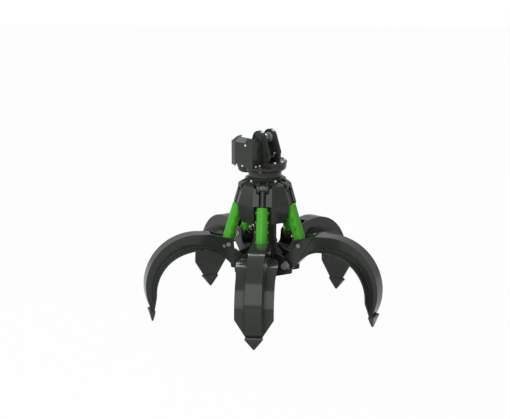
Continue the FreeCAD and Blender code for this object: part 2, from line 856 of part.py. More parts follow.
rotor = newBody("rotor")
rotorSide = newSketch(rotor, "XZ_Plane")
addPath(rotorSide, [
    (30.0, topRingTop),
    (94.0, topRingTop),
    (94.0, 1352.0),
    (86.0, housingFloor + 2),
    (86.0, deckZ - 11),
    (30.0, deckZ - 11),
])
spin(rotor, rotorSide)
vane = newSketch(rotor, "XY_Plane", housingFloor + 4)
rect(vane, 80.0, -6.0, 111.0, 6.0)
vanePad = pad(rotor, vane, deckZ - housingFloor - 16)
polar(rotor, [vanePad], 6)

# Rotator housing with its side pod; everything from here up turns with the crane.
housing = newBody("housing")
housingSide = newSketch(housing, "XZ_Plane")
addPath(housingSide, [
    (0.0, housingFloor),
    (neckR + 3, housingFloor, (neckR.value + 30.0, housingFloor.value + 7.0)),
    (housingR - 5, housingFloor + 32),
    (housingR - 5, housingTop - 26),
    (housingR, housingTop - 22),
    (housingR, housingTop - 4),
    (housingR - 4, housingTop),
    (0.0, housingTop),
])
spin(housing, housingSide)


def turned(x, y, angle):
    turn = math.radians(angle)
    return (x * math.cos(turn) - y * math.sin(turn), x * math.sin(turn) + y * math.cos(turn))


coverBack = 86.7
podSide = newSketch(housing, "XZ_Plane")
addPath(podSide, [
    (-podX, deckZ),
    (-podX - podR, deckZ),
    (-podX - podR, 1376.0, (-podX.value - 68.0, 1350.0)),
    (-podX - 40, 1339.0),
    (-podX, 1337.0),
])
podSpin = feature(housing, "Revolution", "podSpin", podSide)
podLine = podSide.addGeometry(Part.LineSegment(point((-podX, 1337.0)), point((-podX, deckZ))), True)
podSide.addConstraint(Sketcher.Constraint("Vertical", podLine))
hold(podSide, "DistanceX", podLine, 1, -podX)
podSpin.ReferenceAxis = (podSide, ["Axis0"])
podSpin.Angle = 360
neckRoom = newSketch(housing, "XY_Plane", housingFloor)
addCircle(neckRoom, 0.0, 0.0, neckR + 0.3)
pocket(housing, neckRoom, 60.0)
chamber = newSketch(housing, "XZ_Plane")
addPath(chamber, [
    (0.0, housingFloor - 2),
    (neckR - 25, housingFloor - 2),
    (112.0, housingFloor),
    (112.0, deckZ - 9),
    (0.0, deckZ - 9),
])
spin(housing, chamber, cut=True)
topHole = newSketch(housing, "XY_Plane", deckZ - 20)
addCircle(topHole, 0.0, 0.0, 26.0)
pocket(housing, topHole, 100.0, back=True)
deck = newSketch(housing, "XY_Plane", deckZ)
addPath(deck, [turned(x, y, 45.0) for x, y in ((-coverBack, -205.0), (-coverBack, 205.0), (-260.0, 205.0), (-260.0, -205.0))])
pocket(housing, deck, 80.0, back=True)

swivel = newBody("swivel")
swivelSide = newSketch(swivel, "XZ_Plane")
addPath(swivelSide, [
    (0.0, 1290.0),
    (26.0, 1290.0),
    (26.0, housingTop),
    (40.0, housingTop),
    (40.0, housingTop + 34),
    (0.0, housingTop + 34),
])
spin(swivel, swivelSide)

lugs = newBody("lugs")
lugItems = []
for low in (-lugOut, lugIn):
    lug = newSketch(lugs, "YZ_Plane", low)
    addPath(lug, [
        (-112.0, housingTop),
        (112.0, housingTop),
        (126.0, 1462.0),
        (128.0, 1519.0),
        (lugHeadR * 0.97, lugBoreZ + 18, (0.0, lugBoreZ.value + lugHeadR.value)),
        (-lugHeadR * 0.97, lugBoreZ + 18),
        (-128.0, 1519.0),
        (-126.0, 1462.0),
    ])
    lugItems.append(pad(lugs, lug, lugOut - lugIn))
brace = newSketch(lugs, "XZ_Plane")
rect(brace, -lugIn - 1, housingTop + 40, lugIn + 1, housingTop + 56)
pad(lugs, brace, 190.0, both=True)
for start in (-lugOut - 8, lugOut):
    doubler = newSketch(lugs, "YZ_Plane", start)
    addPath(doubler, [
        (-128.0, 1519.0),
        (128.0, 1519.0),
        (lugHeadR * 0.97, lugBoreZ + 18, (0.0, lugBoreZ.value + lugHeadR.value)),
        (-lugHeadR * 0.97, lugBoreZ + 18),
    ])
    pad(lugs, doubler, 8.0)
lugHole = newSketch(lugs, "YZ_Plane")
addCircle(lugHole, 0.0, lugBoreZ, lugBoreR)
pocket(lugs, lugHole, 300.0, both=True)

bushes = newBody("bushes")
bushItems = []
for start, end in ((-lugOut - 10, -bushIn), (bushIn, lugOut + 10)):
    bush = newSketch(bushes, "YZ_Plane", start)
    addCircle(bush, 0.0, lugBoreZ, lugBoreR)
    addCircle(bush, 0.0, lugBoreZ, bushBore)
    bushItems.append(pad(bushes, bush, end - start))

# Hose cover and the valve block below it.
coverOut = [(-208.0, 176.0), (-178.0, 250.0), (-87.0, 250.0), (-87.0, -52.0), (-208.0, -52.0)]
coverLid = [(-165.0, 158.0), (-146.0, 205.0), (-87.0, 205.0), (-87.0, -14.0), (-165.0, -14.0)]


def shrink(corners, by):
    """The same outline moved in by a wall, open at the back."""
    midX = -88.0
    midY = 85.0
    moved = []
    for x, y in corners:
        newX = x + by if x < midX - 1 else x + by
        newY = y - by if y > midY else y + by
        moved.append((newX, newY))
    return moved


cover = newBody("cover")
stack(cover, [(deckZ, coverOut), (coverBreak, coverOut), (coverTop, coverLid)], "AdditiveLoft", "coverShell")
inBy = coverWall.value
stack(cover, [
    (deckZ - 2, shrink(coverOut, inBy)),
    (coverBreak - 2, shrink(coverOut, inBy)),
    (coverTop + 1, shrink(coverLid, inBy)),
], "SubtractiveLoft", "coverRoom")

valve = newBody("valve")
valveFace = newSketch(valve, "XY_Plane", deckZ)
rect(valveFace, -176.0, 14.0, -104.0, 160.0)
pad(valve, valveFace, 110.0)
fittings = newSketch(valve, "XY_Plane", deckZ + 110)
for y in (50.0, 88.0, 126.0):
    addCircle(fittings, -140.0, y, 15.0)
pad(valve, fittings, 34.0)

coverBolts = newBody("coverBolts")
frontBolts = newSketch(coverBolts, "YZ_Plane", -208.0)
for y, z in ((148.0, 1410.0), (76.0, 1410.0), (35.0, 1602.0)):
    addCircle(frontBolts, y, z, 9.0)
frontPad = pad(coverBolts, frontBolts, 7.0, back=True)
sideBolts = newSketch(coverBolts, "XZ_Plane", 52.0)
for x in (-168.0, -120.0):
    addCircle(sideBolts, x, 1412.0, 9.0)
pad(coverBolts, sideBolts, 7.0)

housingBolts = newBody("housingBolts")
ringBolt = newSketch(housingBolts, "XY_Plane", housingTop)
ringStart = math.radians(-105.0)
addCircle(ringBolt, 182.0 * math.cos(ringStart), 182.0 * math.sin(ringStart), 9.0)
ringPad = pad(housingBolts, ringBolt, 9.0)
polar(housingBolts, [ringPad], 8, 210.0)

lugBolts = newBody("lugBolts")
lugBoltItems = []
for start, back in ((-lugIn, False), (lugIn, True)):
    face = newSketch(lugBolts, "YZ_Plane", start)
    for y in (-70.0, 70.0):
        addCircle(face, y, 1510.0, 9.0)
    lugBoltItems.append(pad(lugBolts, face, 8.0, back=back))

doc.recompute()

for k in range(5):
    angle = tineAngles[k]
    tag = "_%d" % (k + 1)
    node("tine" + tag, [tine], angle)
    node("tooth" + tag, [tooth], angle)
    node("foot_pin" + tag, [footPin, footKeeper], angle)
    node("barrel" + tag, [barrel], angle)
    node("foot_core" + tag, [footCore], angle)
    node("gland" + tag, [gland], angle)
    node("rod" + tag, [rod], angle)
    node("piston" + tag, [piston], angle)
crownTurn = -90.0
node("hub", [hub], crownTurn)
node("hub_cap", [hubCap], crownTurn)
node("hinge_pins", [hingePin], crownTurn)
node("hinge_keepers", [hingeKeeper], crownTurn)
node("column", [column], crownTurn)
node("crown", [crown], crownTurn)
node("rod_pins", [rodPin], crownTurn)
node("top_ring", [topRing], crownTurn)
node("crown_bolts", [crownBolts], crownTurn + 36.0)
node("inner_ring", [innerRing], crownTurn)
node("bearing_balls", [balls], crownTurn)
node("vane_rotor", [rotor], crownTurn)
headAngle = headTurn.value
node("outer_ring", [outerRing], headAngle)
node("rotator_housing", [housing], 5.0)
node("oil_swivel", [swivel], headAngle)
node("hanger_lugs", [lugs], headAngle)
node("hanger_bushes", [bushes], headAngle)
node("hose_cover", [cover], headAngle)
node("valve_block", [valve], headAngle)
node("head_bolts", [coverBolts, housingBolts, lugBolts], headAngle)

doc.recompute()
for item in doc.Objects:
    if "Invalid" in item.State or "Error" in item.State:
        raise RuntimeError(item.Name + " did not build: " + str(item.State))
os.makedirs("parts", exist_ok=True)
for item in nodes:
    if item.Shape.isNull() or not item.Shape.isValid():
        raise RuntimeError(item.Label + " has no valid shape")
    item.Shape.exportStep("parts/%s.step" % item.Label)
    print(item.Label, len(item.Shape.Solids), round(item.Shape.Volume / 1000.0), "cm3")
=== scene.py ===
import bpy
import bmesh
import json
import math
from mathutils import Matrix, Vector


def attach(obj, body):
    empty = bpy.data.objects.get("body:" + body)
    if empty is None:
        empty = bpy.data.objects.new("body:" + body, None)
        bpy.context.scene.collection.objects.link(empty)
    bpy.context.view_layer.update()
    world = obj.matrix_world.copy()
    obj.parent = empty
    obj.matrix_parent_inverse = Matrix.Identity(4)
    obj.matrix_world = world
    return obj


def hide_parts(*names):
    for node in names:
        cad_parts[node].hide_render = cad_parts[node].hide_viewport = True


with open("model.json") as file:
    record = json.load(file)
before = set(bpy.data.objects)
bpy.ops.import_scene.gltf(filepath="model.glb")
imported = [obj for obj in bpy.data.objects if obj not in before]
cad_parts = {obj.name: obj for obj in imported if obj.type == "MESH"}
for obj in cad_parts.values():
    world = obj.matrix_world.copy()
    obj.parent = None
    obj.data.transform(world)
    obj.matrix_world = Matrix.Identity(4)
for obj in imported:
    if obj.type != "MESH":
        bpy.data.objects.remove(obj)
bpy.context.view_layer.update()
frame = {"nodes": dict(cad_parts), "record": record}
print("frame loaded:", len(frame["nodes"]), "nodes")

# Slewing axis and the five tines' directions, as the frame has them.
axisY = 0.08515
tineAngles = [-90.0, -18.0, 54.0, 126.0, 198.0]
headAngle = 50.0


class Signal:
    def __init__(self, tree, socket):
        self.tree = tree
        self.socket = socket

    def maths(self, operation, first, second):
        made = self.tree.nodes.new("ShaderNodeMath")
        made.operation = operation
        for place, value in enumerate((first, second)):
            if isinstance(value, Signal):
                self.tree.links.new(value.socket, made.inputs[place])
            else:
                made.inputs[place].default_value = value
        return Signal(self.tree, made.outputs[0])

    def __add__(self, other):
        return self.maths("ADD", self, other)

    def __radd__(self, other):
        return self.maths("ADD", other, self)

    def __sub__(self, other):
        return self.maths("SUBTRACT", self, other)

    def __rsub__(self, other):
        return self.maths("SUBTRACT", other, self)

    def __mul__(self, other):
        return self.maths("MULTIPLY", self, other)

    def __rmul__(self, other):
        return self.maths("MULTIPLY", other, self)

    def over(self, limit):
        return self.maths("GREATER_THAN", self, limit)

    def root(self):
        return self.maths("SQRT", self, 0.0)

    def size(self):
        return self.maths("ABSOLUTE", self, 0.0)

    def clipped(self):
        self.socket.node.use_clamp = True
        return self


class Shade:
    def __init__(self, name):
        self.material = bpy.data.materials.new(name)
        self.material.use_nodes = True
        self.tree = self.material.node_tree
        self.surface = self.tree.nodes["Principled BSDF"]

    def add(self, kind, settings=None, out=0, **sockets):
        made = self.tree.nodes.new(kind)
        for key, value in (settings or {}).items():
            if key == "stops":
                made.color_ramp.elements[0].position = value[0][0]
                made.color_ramp.elements[0].color = value[0][1]
                made.color_ramp.elements[1].position = value[1][0]
                made.color_ramp.elements[1].color = value[1][1]
            else:
                setattr(made, key, value)
        for key, value in sockets.items():
            self.feed(made.inputs[key.replace("_", " ")], value)
        return Signal(self.tree, made.outputs[out])

    def feed(self, target, value):
        if isinstance(value, Signal):
            self.tree.links.new(value.socket, target)
        else:
            target.default_value = value

    def set(self, **sockets):
        for key, value in sockets.items():
            self.feed(self.surface.inputs[key.replace("_", " ")], value)
        return self

    def place(self):
        return self.add("ShaderNodeTexCoord", out=3)

    def noise(self, scale, detail=3.0, roughness=0.5, stretch=None):
        where = self.place()
        if stretch:
            where = self.add("ShaderNodeMapping", Vector=where, Scale=stretch)
        return self.add("ShaderNodeTexNoise", Vector=where, Scale=scale, Detail=detail, Roughness=roughness)

    def blend(self, mask, low, high):
        made = self.tree.nodes.new("ShaderNodeMix")
        made.data_type = "RGBA"
        self.feed(made.inputs[0], mask)
        self.feed(made.inputs[6], low)
        self.feed(made.inputs[7], high)
        return Signal(self.tree, made.outputs[2])

    def bump(self, height, strength, distance, rounding=0.0):
        if not rounding:
            return self.add("ShaderNodeBump", Height=height, Strength=strength, Distance=distance)
        softened = self.add("ShaderNodeBevel", {"samples": 4}, Radius=rounding)
        return self.add("ShaderNodeBump", Height=height, Strength=strength, Distance=distance, Normal=softened)

    # Dark lines painted along every edge, convex and concave; in the creases they are painted shade.
    def edges(self, width):
        softened = self.add("ShaderNodeBevel", {"samples": 4}, Radius=width)
        plain = self.add("ShaderNodeNewGeometry", out=1)
        product = self.tree.nodes.new("ShaderNodeVectorMath")
        product.operation = "DOT_PRODUCT"
        self.feed(product.inputs[0], softened)
        self.feed(product.inputs[1], plain)
        return ((1.0 - Signal(self.tree, product.outputs[1])) * 7.0).clipped()

    # Painted shade: creases and recesses darkened by ambient occlusion.
    def occlusionShade(self, reach):
        return (1.0 - self.add("ShaderNodeAmbientOcclusion", {"samples": 6, "only_local": True}, 1, Distance=reach)).clipped()


# Dark body paint: two coats, slightly greenish, with dust in the grain and dull handling marks; painted shade darkens
# its creases and edges towards the shade tone.
paintLook = {
    "light": (0.0310, 0.0375, 0.0305, 1.0),
    "deep": (0.0225, 0.0275, 0.0225, 1.0),
    "dust": (0.062, 0.066, 0.058, 1.0),
    "shadeTone": (0.0035, 0.0040, 0.0034, 1.0),
    "roughness": 0.14,
    "coat": 0.20,
    "edgeWidth": 0.0045,
    "edgeDepth": 0.75,
    "occlusionShadeReach": 0.035,
}


# Hinges and column are painted darker near the axis: painted shade in the machine's interior.
innerShadeLook = {"reach": 0.335, "fade": 11.0}


def axisReach(shade, centre):
    parts = shade.tree.nodes.new("ShaderNodeSeparateXYZ")
    shade.feed(parts.inputs[0], shade.place())
    across = Signal(shade.tree, parts.outputs[0]) - centre[0]
    along = Signal(shade.tree, parts.outputs[1]) - centre[1]
    return (across * across + along * along).root(), parts


def bodyPaint(name, grain=1.0, tint=1.0, occlusionShadeAmount=0.85, edging=1.0, gapShadow=None, innerShade=0.0):
    shade = Shade(name)
    cloud = shade.noise(2.6, 4.0)
    speck = shade.noise(34.0, 6.0, 0.65)
    rub = shade.noise(9.0, 5.0, 0.6, (1.0, 1.0, 0.35))
    peel = shade.noise(420.0, 2.0)
    light = tuple(c * tint for c in paintLook["light"][:3]) + (1.0,)
    deep = tuple(c * tint for c in paintLook["deep"][:3]) + (1.0,)
    ground = shade.blend(cloud, deep, light)
    dusty = ((speck - 0.60) * 5.0).clipped() * 0.20 * grain
    worn = shade.blend(dusty, ground, paintLook["dust"])
    # Painted shade: edge lines and occlusion darken the paint towards the shade tone and dull its coat.
    edge = shade.edges(paintLook["edgeWidth"]) * paintLook["edgeDepth"] * edging
    paintedShade = shade.occlusionShade(paintLook["occlusionShadeReach"]) * occlusionShadeAmount
    # Painted shadow in the crown's fork gaps and arches, where given.
    if gapShadow:
        paintedShade = (paintedShade + gapShadow(shade)).clipped()
    # Painted shade near the axis, where the interior between the barrels lies in shadow.
    if innerShade:
        reach, parts = axisReach(shade, (0.0, axisY))
        paintedShade = (paintedShade + ((innerShadeLook["reach"] - reach) * innerShadeLook["fade"]).clipped() * innerShade).clipped()
    shade.set(Base_Color=shade.blend((edge + paintedShade).clipped(), worn, paintLook["shadeTone"]))
    shade.set(Roughness=paintLook["roughness"] + (rub - 0.5) * 0.16 + dusty * 0.5 + paintedShade * 0.65)
    shade.set(Normal=shade.bump(peel + speck * 0.6, 0.05, 0.0006))
    shade.set(Specular_IOR_Level=0.28, Coat_Weight=(paintLook["coat"] - paintedShade).clipped(), Coat_Roughness=0.09)
    return shade.material


# Painted shadow: the crown is painted near black in the gaps round its fork ears and inside its arches, where shade
# falls.
forkShadowLook = {"firstTurn": -90.0, "middle": 0.0385, "half": 0.0120, "round": 0.009, "floor": 1.186, "top": 1.262,
           "width": 0.0085, "inside": 0.149, "reach": 0.082, "low": 1.150}


def paintForkShadow(shade):
    look = forkShadowLook
    parts = shade.tree.nodes.new("ShaderNodeSeparateXYZ")
    shade.feed(parts.inputs[0], shade.place())
    across = Signal(shade.tree, parts.outputs[0])
    deep = Signal(shade.tree, parts.outputs[1]) - axisY
    height = Signal(shade.tree, parts.outputs[2])
    reach = (across * across + deep * deep).root()
    turn = deep.maths("ARCTAN2", deep, across) - math.radians(look["firstTurn"])
    step = math.radians(72.0)
    local = turn - turn.maths("ROUND", turn * (1.0 / step), 0.0) * step
    out = reach * local.maths("COSINE", local, 0.0)
    side = (reach * local.maths("SINE", local, 0.0)).size()
    beside = (side - look["middle"]).size() - (look["half"] - look["round"])
    below = (look["floor"] + look["round"]) - height
    beside = beside.maths("MAXIMUM", beside, 0.0)
    below = below.maths("MAXIMUM", below, 0.0)
    apart = (beside * beside + below * below).root()
    outline = (1.0 - apart.over(look["round"] + look["width"])) * (1.0 - height.over(look["top"]))
    inner = (1.0 - out.over(look["inside"])) * (1.0 - side.over(look["reach"])) * height.over(look["low"])
    return (outline * out.over(look["inside"]) + inner).clipped()


# Cylinder paint: bright green gloss, with painted shade darkening its corners and edges.
greenLook = {
    "light": (0.064, 0.42, 0.014, 1.0),
    "deep": (0.048, 0.34, 0.010, 1.0),
    "scuff": (0.025, 0.15, 0.008, 1.0),
    "shadeTone": (0.006, 0.030, 0.003, 1.0),
}


def cylinderPaint(name):
    shade = Shade(name)
    cloud = shade.noise(5.0, 4.0)
    speck = shade.noise(60.0, 6.0, 0.7)
    peel = shade.noise(380.0, 2.0)
    ground = shade.blend(cloud, greenLook["deep"], greenLook["light"])
    scuffed = ((speck - 0.64) * 6.0).clipped() * 0.5
    worn = shade.blend(scuffed, ground, greenLook["scuff"])
    # Painted shade: edge lines and occlusion darken the green towards its shade tone.
    paintedShade = (shade.edges(0.004) * 0.6 + shade.occlusionShade(0.02) * 0.9).clipped()
    shade.set(Base_Color=shade.blend(paintedShade, worn, greenLook["shadeTone"]))
    shade.set(Roughness=0.32 + (cloud - 0.5) * 0.12 + scuffed * 0.25)
    shade.set(Normal=shade.bump(peel + speck * 0.4, 0.05, 0.0006))
    shade.set(Specular_IOR_Level=0.35, Coat_Weight=0.15, Coat_Roughness=0.1)
    return shade.material


def turnedSteel(name, tone, roughness, stretch, grain=160.0, metal=1.0):
    shade = Shade(name)
    marks = shade.noise(grain, 4.0, 0.6, stretch)
    cloud = shade.noise(12.0, 4.0)
    low = tuple(tone * k for k in (0.78, 0.79, 0.80)) + (1.0,)
    high = tuple(tone * k for k in (1.0, 1.0, 0.99)) + (1.0,)
    shade.set(Base_Color=shade.blend(cloud, low, high))
    shade.set(Metallic=metal, Roughness=roughness + (marks - 0.5) * 0.14 + (cloud - 0.5) * 0.1)
    shade.set(Normal=shade.bump(marks, 0.08, 0.0005))
    return shade.material


# Rods: dark nitrided steel, with painted eyes above the line where the rod enters its eye.
rodLook = {"tone": 0.042, "metal": 0.20, "roughness": 0.30, "eyeStart": 0.507, "footR": 0.357, "footZ": 0.697,
           "lean": (-0.29487, 0.95553)}


def rodFinish(name):
    shade = Shade(name)
    marks = shade.noise(160.0, 4.0, 0.6, (1.0, 1.0, 9.0))
    cloud = shade.noise(12.0, 4.0)
    reach, parts = axisReach(shade, (0.0, axisY))
    height = Signal(shade.tree, parts.outputs[2])
    along = (reach - rodLook["footR"]) * rodLook["lean"][0] + (height - rodLook["footZ"]) * rodLook["lean"][1]
    eye = along.over(rodLook["eyeStart"])
    tone = rodLook["tone"]
    steel = shade.blend(cloud, (tone * 0.8, tone * 0.82, tone * 0.8, 1.0), (tone, tone * 1.03, tone, 1.0))
    # Painted shade: edge lines and occlusion darken the painted eye.
    paintedShade = (shade.edges(0.004) + shade.occlusionShade(0.03)).clipped()
    eyePaint = shade.blend(paintedShade * 0.35, paintLook["light"], paintLook["shadeTone"])
    shade.set(Base_Color=shade.blend(eye, steel, eyePaint), Metallic=(1.0 - eye) * rodLook["metal"])
    shade.set(Roughness=rodLook["roughness"] + (marks - 0.5) * 0.12 + (cloud - 0.5) * 0.1)
    shade.set(Normal=shade.bump(marks, 0.06, 0.0004))
    return shade.material


# Bushes: bright where they stand in the gap, dark on their ends, and darkened in the bore as painted shade.
bushLook = {"centre": (0.0, axisY, 1.649), "turn": 50.0, "wall": 0.040, "endFace": 0.060}


def bushFinish(name):
    shade = Shade(name)
    marks = shade.noise(160.0, 4.0, 0.6)
    turn = math.radians(bushLook["turn"])
    parts = shade.tree.nodes.new("ShaderNodeSeparateXYZ")
    shade.feed(parts.inputs[0], shade.place())
    across = Signal(shade.tree, parts.outputs[0])
    deep = Signal(shade.tree, parts.outputs[1]) - bushLook["centre"][1]
    height = Signal(shade.tree, parts.outputs[2]) - bushLook["centre"][2]
    along = (across * math.cos(turn) + deep * math.sin(turn)).size()
    side = deep * math.cos(turn) - across * math.sin(turn)
    radius = (side * side + height * height).root()
    bright = radius.over(bushLook["wall"]) * (1.0 - along.over(bushLook["endFace"]))
    shade.set(Base_Color=shade.blend(bright, (0.030, 0.032, 0.030, 1.0), (0.36, 0.37, 0.40, 1.0)))
    shade.set(Metallic=bright * 0.35, Roughness=0.30 + (marks - 0.5) * 0.16)
    shade.set(Normal=shade.bump(marks, 0.08, 0.0005))
    return shade.material


def zincPlate(name):
    shade = Shade(name)
    cloud = shade.noise(70.0, 3.0)
    shade.set(Base_Color=shade.blend(cloud, (0.80, 0.80, 0.78, 1.0), (0.95, 0.95, 0.93, 1.0)))
    shade.set(Metallic=0.15, Roughness=0.34 + (cloud - 0.5) * 0.2)
    shade.set(Normal=shade.bump(cloud, 0.05, 0.0004))
    return shade.material


def capPlastic(name):
    shade = Shade(name)
    cloud = shade.noise(90.0, 3.0)
    shade.set(Base_Color=shade.blend(cloud, (0.30, 0.007, 0.010, 1.0), (0.42, 0.010, 0.014, 1.0)))
    shade.set(Roughness=0.42 + (cloud - 0.5) * 0.15)
    shade.set(Normal=shade.bump(cloud, 0.06, 0.0003))
    return shade.material



def weldBeadPaint(name):
    shade = Shade(name)
    ripple = shade.noise(240.0, 2.0)
    cloud = shade.noise(14.0, 4.0)
    shade.set(Base_Color=shade.blend(cloud, paintLook["deep"], paintLook["light"]))
    shade.set(Roughness=0.34 + (ripple - 0.5) * 0.2, Normal=shade.bump(ripple, 0.5, 0.0012))
    shade.set(Coat_Weight=0.3, Coat_Roughness=0.12)
    return shade.material


def blackRubber(name):
    shade = Shade(name)
    grain = shade.noise(300.0, 3.0)
    shade.set(Base_Color=shade.blend(grain, (0.010, 0.010, 0.011, 1.0), (0.022, 0.022, 0.023, 1.0)))
    shade.set(Roughness=0.55 + (grain - 0.5) * 0.2, Normal=shade.bump(grain, 0.1, 0.0003))
    return shade.material


def satinPlate(name):
    shade = Shade(name)
    cloud = shade.noise(30.0, 3.0)
    shade.set(Base_Color=shade.blend(cloud, (0.105, 0.118, 0.118, 1.0), (0.135, 0.148, 0.148, 1.0)))
    shade.set(Roughness=0.38 + (cloud - 0.5) * 0.1, Normal=shade.bump(cloud, 0.04, 0.0003))
    return shade.material


weldPaint = weldBeadPaint("weldPaint")
rubber = blackRubber("wiperRubber")
# A lighter copy of the body paint for the fork ears, arch plates and hanger pin ends: painted light against the shadow
# they stand in.
earLitPaint = bodyPaint("earLitPaint", tint=1.5)
platePaint = satinPlate("coverPlatePaint")
pinBright = turnedSteel("hangerPinSteel", 0.34, 0.48, (1.0, 1.0, 9.0))


materials = {
    "blade_paint": bodyPaint("bladePaint", innerShade=0.55),
    "tooth_paint": bodyPaint("toothPaint", grain=1.8, tint=1.25),
    "hub_paint": bodyPaint("hubPaint", grain=1.3, innerShade=0.6),
    "crown_paint": bodyPaint("crownPaint", gapShadow=paintForkShadow),
    "head_paint": bodyPaint("headPaint", grain=1.2, tint=0.92, occlusionShadeAmount=0.4, edging=0.5),
    "cover_paint": bodyPaint("coverPaint", tint=1.05, occlusionShadeAmount=0.2),
    "cylinder_paint": cylinderPaint("cylinderPaint"),
    "rod_steel": rodFinish("rodNitrided"),
    "pin_steel": turnedSteel("pinSteel", 0.32, 0.36, (1.0, 1.0, 1.0), metal=0.4),
    "bush_steel": bushFinish("bushSteel"),
    "inner_steel": turnedSteel("innerSteel", 0.45, 0.35, (1.0, 1.0, 1.0)),
    "bolt_zinc": zincPlate("boltZinc"),
}
redCap = capPlastic("nippleRed")
ringPaint = bodyPaint("ringPaint", tint=1.0, occlusionShadeAmount=0.2, edging=0.2)
neckPaint = bodyPaint("neckPaint", grain=1.2, tint=1.0, occlusionShadeAmount=0.0, edging=0.0)
keeperSteel = turnedSteel("keeperSteel", 0.30, 0.30, (1.0, 1.0, 1.0), metal=0.4)
for part in frame["record"]["subparts"]:
    carried = frame["nodes"][part["node"]]
    carried.data.materials.clear()
    carried.data.materials.append(materials[part["material_slot"]])
frame["nodes"]["top_ring"].data.materials[0] = ringPaint
frame["nodes"]["outer_ring"].data.materials[0] = neckPaint
frame["nodes"]["hinge_keepers"].data.materials[0] = keeperSteel
print("materials made:", len(materials))


# Modelling helpers: select by place, then leave the finished piece at the origin.
def clearSelection():
    bpy.ops.object.select_all(action="DESELECT")


def startEdit():
    bpy.ops.object.mode_set(mode="EDIT")
    bpy.ops.mesh.select_mode(type="VERT")


def endEdit():
    bpy.ops.mesh.select_all(action="SELECT")
    bpy.ops.mesh.remove_doubles(threshold=0.00001)
    bpy.ops.mesh.normals_make_consistent(inside=False)
    bpy.ops.object.mode_set(mode="OBJECT")


def pick(kind, test):
    bpy.ops.mesh.select_mode(type=kind)
    bpy.ops.mesh.select_all(action="DESELECT")
    mesh = bmesh.from_edit_mesh(bpy.context.object.data)
    for item in {"VERT": mesh.verts, "EDGE": mesh.edges, "FACE": mesh.faces}[kind]:
        if test(item):
            item.select_set(True)
    bmesh.update_edit_mesh(bpy.context.object.data)


def highest(level, slack=0.0002):
    return lambda item: min(v.co.z for v in item.verts) > level - slack


def lowest(level, slack=0.0002):
    return lambda item: max(v.co.z for v in item.verts) < level + slack


def grow(move=(0.0, 0.0, 0.0), scale=1.0, center=(0.0, 0.0, 0.0)):
    bpy.ops.mesh.extrude_region_move(TRANSFORM_OT_translate={"value": move})
    if scale != 1.0:
        bpy.ops.transform.resize(value=(scale, scale, scale), center_override=center)


def smoothByAngle(piece, degrees=35.0):
    clearSelection()
    piece.select_set(True)
    bpy.context.view_layer.objects.active = piece
    bpy.ops.object.shade_smooth_by_angle(angle=math.radians(degrees))


def paint(piece, *finishes):
    piece.data.materials.clear()
    for finish in finishes:
        piece.data.materials.append(finish)


def setDown(model, name, where, body):
    piece = model.copy()
    piece.data = model.data.copy()
    piece.name = name
    bpy.context.collection.objects.link(piece)
    piece.data.transform(where)
    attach(piece, body)
    return piece


def drop(model):
    bpy.data.objects.remove(model, do_unlink=True)


def aboutAxis(angle):
    return Matrix.Translation((0.0, axisY, 0.0)) @ Matrix.Rotation(math.radians(angle), 4, "Z")


# Cylinders lean in from the foot pins to the rod pins.
cylinderLook = {"footPin": (0.357, 0.697), "rodPin": (0.195, 1.222)}


def alongCylinder(angle):
    footR, footZ = cylinderLook["footPin"]
    rodR, rodZ = cylinderLook["rodPin"]
    lean = math.atan2(footR - rodR, rodZ - footZ)
    return aboutAxis(angle) @ Matrix.Translation((footR, 0.0, footZ)) @ Matrix.Rotation(-lean, 4, "Y")


cylinderLength = math.hypot(0.357 - 0.195, 1.222 - 0.697)
outward = Matrix.Rotation(math.radians(90.0), 4, "Y")
inward = Matrix.Rotation(math.radians(-90.0), 4, "Y")

# Grease nipples under red caps, at the rod eyes, the barrel feet and the slewing bearing.
nippleLook = {"hexRadius": 0.0078, "hexHeight": 0.0045, "capRadius": 0.0060, "capHeight": 0.0110}


def makeNipple():
    look = nippleLook
    clearSelection()
    bpy.ops.mesh.primitive_cylinder_add(vertices=6, radius=look["hexRadius"], depth=look["hexHeight"],
                                        location=(0.0, 0.0, look["hexHeight"] / 2))
    base = bpy.context.object
    bpy.ops.object.transform_apply()
    startEdit()
    pick("FACE", lambda f: f.normal.z > 0.9)
    bpy.ops.mesh.inset(thickness=0.0012)
    grow((0.0, 0.0, 0.0008))
    pick("EDGE", lambda e: abs(e.verts[0].co.z - e.verts[1].co.z) > 0.003)
    bpy.ops.mesh.bevel(offset=0.0006, segments=2, affect="EDGES")
    endEdit()
    paint(base, materials["pin_steel"])
    floor = look["hexHeight"]
    clearSelection()
    bpy.ops.mesh.primitive_cylinder_add(vertices=24, radius=look["capRadius"] * 1.16, depth=0.0026,
                                        location=(0.0, 0.0, floor + 0.0013))
    cap = bpy.context.object
    bpy.ops.object.transform_apply()
    startEdit()
    pick("FACE", lambda f: f.normal.z > 0.9)
    bpy.ops.mesh.inset(thickness=look["capRadius"] * 0.16)
    grow((0.0, 0.0, look["capHeight"] - 0.0026), 0.94, (0.0, 0.0, floor + look["capHeight"]))
    pick("EDGE", highest(floor + look["capHeight"]))
    bpy.ops.mesh.bevel(offset=0.0026, segments=4, affect="EDGES")
    endEdit()
    paint(cap, redCap)
    clearSelection()
    cap.select_set(True)
    base.select_set(True)
    bpy.context.view_layer.objects.active = base
    bpy.ops.object.join()
    smoothByAngle(base)
    return base


# Flat pads on the rods' eyes, under the nipples.
padLook = {"floor": 0.0345, "face": 0.0392, "half": 0.0225, "low": -0.0145, "high": 0.0155, "corner": 0.003}


